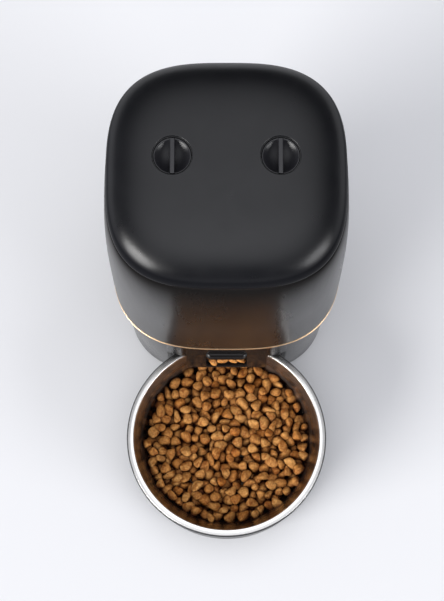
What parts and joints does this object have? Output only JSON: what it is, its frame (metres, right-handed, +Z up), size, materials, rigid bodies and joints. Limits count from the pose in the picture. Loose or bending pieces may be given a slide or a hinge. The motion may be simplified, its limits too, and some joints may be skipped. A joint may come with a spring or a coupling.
{
  "type": "automatic pet feeder",
  "caption": "Countertop dry-food feeder: rounded tower with lift-off hopper and twist-locked lid, portioning rotor, chute and steel bowl in a round tray.",
  "frame": {"origin": "middle of the footprint on the ground, feet at z = 0", "axes": "+Z up, the bowl and outlet face -Y, X = 0 is the middle plane, metres"},
  "size_m": [0.1976, 0.3445, 0.33],
  "materials": {
    "lid_satin": "satin moulded plastic",
    "hopper_gloss": "high gloss piano black",
    "base_gloss": "high gloss black",
    "inner_black": "fine moulded texture",
    "copper_trim": "anodised copper gold, satin",
    "steel": "brushed stainless, polished edge",
    "screw_steel": "zinc plated",
    "rubber_black": "soft matte",
    "silicone_grey": "translucent grey silicone",
    "tank_clear": "milky food-safe plastic",
    "abs_grey": "fine moulded texture",
    "gear_acetal": "smooth acetal",
    "gear_brass": "machined",
    "motor_steel": "zinc plated can",
    "board_green": "solder mask",
    "chip_black": "moulded packages",
    "cell_wrap": "printed sleeve without lettering",
    "sensor_red": "infrared window",
    "lens_white": "frosted light guide"
  },
  "bodies": {
    "base": {"base_shell": "base_gloss", "bowl_recess": "base_gloss", "base_deck": "inner_black", "housing_floor": "inner_black", "bottom_cover": "inner_black", "rubber_feet": "rubber_black", "cover_screws": "screw_steel", "battery_cells": "cell_wrap", "battery_contacts": "screw_steel", "chute_panel": "base_gloss", "outlet_hood": "base_gloss", "food_chute": "inner_black", "fall_sensors": "sensor_red", "rotor_housing": "inner_black", "housing_screws": "screw_steel", "cutoff_baffle": "silicone_grey", "gearbox": "motor_steel", "drive_motor": "motor_steel", "control_board": "board_green", "board_parts": "chip_black", "power_inlet": "inner_black", "status_lens": "lens_white"},
    "battery_door": {"battery_door": "inner_black"},
    "feed_button": {"feed_button": "inner_black"},
    "rotor": {"rotor": "abs_grey", "rotor_wipers": "silicone_grey", "rotor_cap": "abs_grey", "rotor_shaft": "screw_steel", "drive_gear": "gear_acetal"},
    "pinion": {"motor_pinion": "gear_brass", "output_shaft": "screw_steel"},
    "hopper": {"hopper_shell": "hopper_gloss", "hopper_floor": "inner_black", "trim_ring": "copper_trim", "food_tank": "tank_clear", "tank_funnel": "tank_clear", "neck_seal": "silicone_grey", "lock_strikers": "screw_steel"},
    "lid": {"lid_shell": "lid_satin", "lid_liner": "abs_grey", "lid_gasket": "silicone_grey", "knob_wells": "inner_black", "desiccant_cup": "abs_grey"},
    "desiccant_cap": {"desiccant_cap": "abs_grey"},
    "left_lock": {"left_knob": "lid_satin", "left_latch": "screw_steel"},
    "right_lock": {"right_knob": "lid_satin", "right_latch": "screw_steel"},
    "tray": {"bowl_tray": "inner_black", "tray_pads": "rubber_black"},
    "bowl": {"steel_bowl": "steel"}
  },
  "joints": [
    {"name": "hopper_lift", "type": "slide", "parent": "base", "child": "hopper", "axis": [0, 0, 1], "range_m": [0, 0.12]},
    {"name": "lid_lift", "type": "slide", "parent": "hopper", "child": "lid", "axis": [0, 0, 1], "range_m": [0, 0.09]},
    {"name": "left_lock_turn", "type": "hinge", "parent": "lid", "child": "left_lock", "pos_m": [-0.0407, 0.08225, 0.32], "axis": [0, 0, 1], "range_deg": [-90, 0]},
    {"name": "right_lock_turn", "type": "hinge", "parent": "lid", "child": "right_lock", "pos_m": [0.0407, 0.08225, 0.32], "axis": [0, 0, 1], "range_deg": [0, 90]},
    {"name": "desiccant_cap_pull", "type": "slide", "parent": "lid", "child": "desiccant_cap", "axis": [0, 0, -1], "range_m": [0, 0.03]},
    {"name": "rotor_spin", "type": "hinge", "parent": "base", "child": "rotor", "pos_m": [0, 0.07485, 0.12], "axis": [0, 0, 1], "continuous": true},
    {"name": "pinion_spin", "type": "hinge", "parent": "base", "child": "pinion", "pos_m": [0, 0.1036, 0.105], "axis": [0, 0, 1], "continuous": true},
    {"name": "tray_slide", "type": "slide", "parent": "base", "child": "tray", "axis": [0, -1, 0], "range_m": [0, 0.06]},
    {"name": "bowl_lift", "type": "slide", "parent": "tray", "child": "bowl", "axis": [0, 0, 1], "range_m": [0, 0.0055]},
    {"name": "battery_door_swing", "type": "hinge", "parent": "base", "child": "battery_door", "pos_m": [0, 0.14845, 0.0046], "axis": [1, 0, 0], "range_deg": [0, 95]},
    {"name": "feed_button_press", "type": "slide", "parent": "base", "child": "feed_button", "axis": [0, -1, 0], "range_m": [0, 0.0012], "stiffness_N_per_m": 800, "springref_m": -0.0006}
  ],
  "couplings": [
    {"joint": "pinion_spin", "follows": "rotor_spin", "ratio": -1.875}
  ]
}
